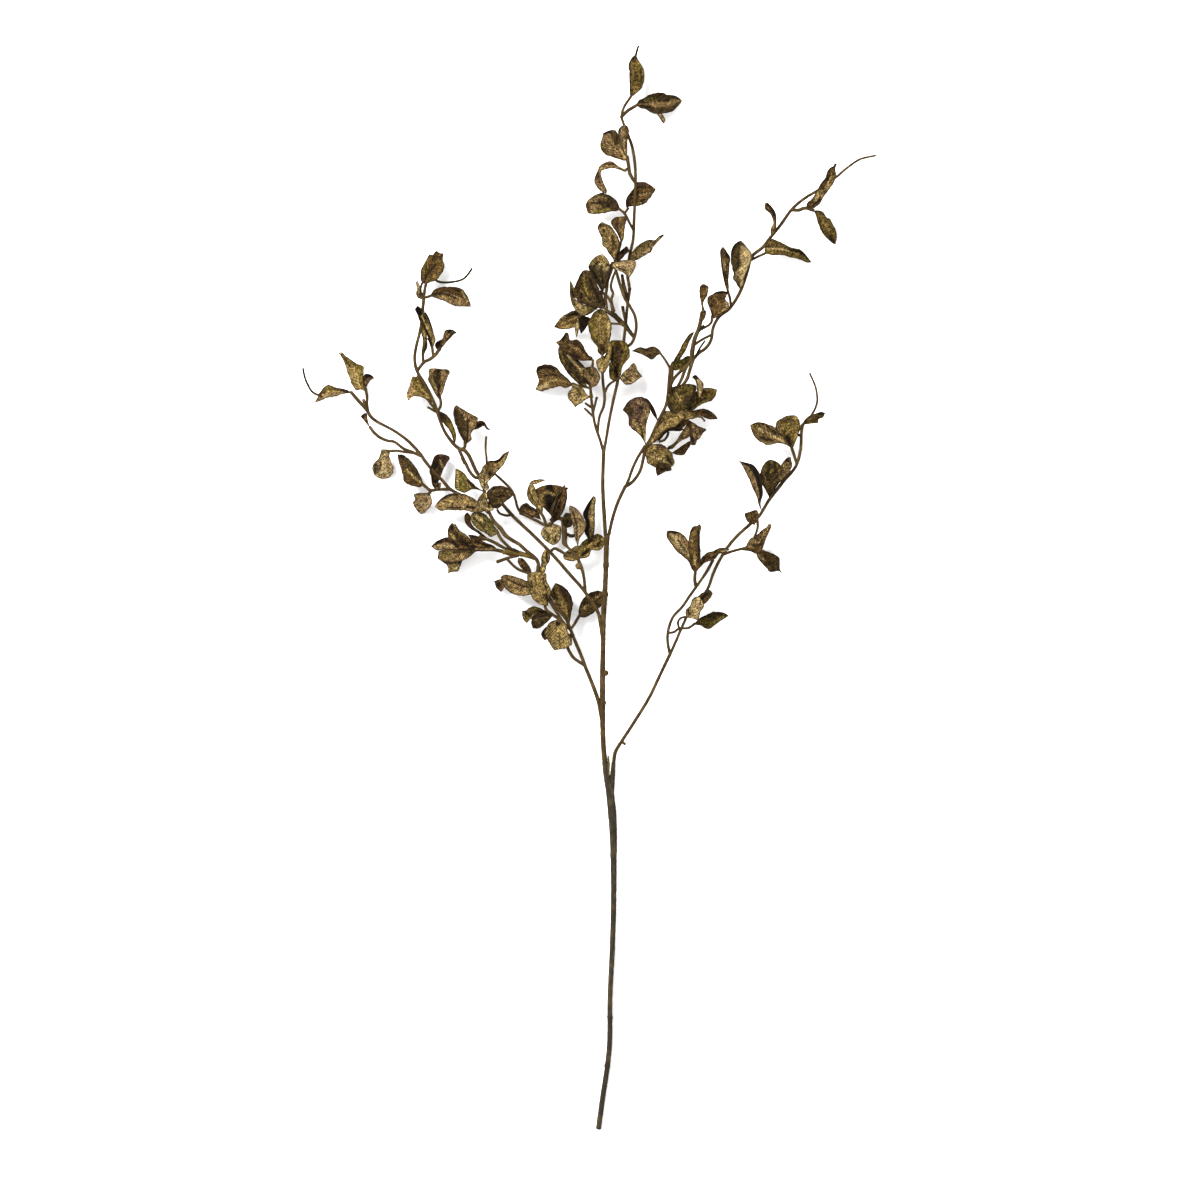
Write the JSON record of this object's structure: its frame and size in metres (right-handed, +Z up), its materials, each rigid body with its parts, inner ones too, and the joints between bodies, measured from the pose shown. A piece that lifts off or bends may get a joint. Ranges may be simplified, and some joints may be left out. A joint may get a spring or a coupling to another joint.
{
  "type": "artificial leaf spray",
  "caption": "Long artificial spray of dried-look crinkled leaves on branching coated wires above a dark cut stem, lying flat on a surface.",
  "frame": {"origin": "on the surface that the spray lies on, under the middle of its bounding box", "axes": "+Y runs along the spray from the cut end of the stem to the top leaves, +X to the right seen from above, +Z up out of the surface"},
  "size_m": [0.574, 1.0852, 0.0418],
  "materials": {
    "dark_stem_coating": "matt olive-grey tape and resin coating with pale streaks",
    "ochre_wire_coating": "matt ochre-brown coating, slightly fibrous",
    "leaf_fabric": "crinkled printed leaf fabric, matt and short-napped, olive to taupe with darker rims and pale veins"
  },
  "bodies": {
    "root": {"lower_stem": "dark_stem_coating", "main_stem": "ochre_wire_coating", "centre_branch": "leaf_fabric", "right_centre_branch": "leaf_fabric", "right_branch": "leaf_fabric", "lower_left_branch": "leaf_fabric", "far_left_twig": "leaf_fabric", "top_left_twig": "leaf_fabric", "upper_left_branch": "leaf_fabric"}
  },
  "joints": []
}
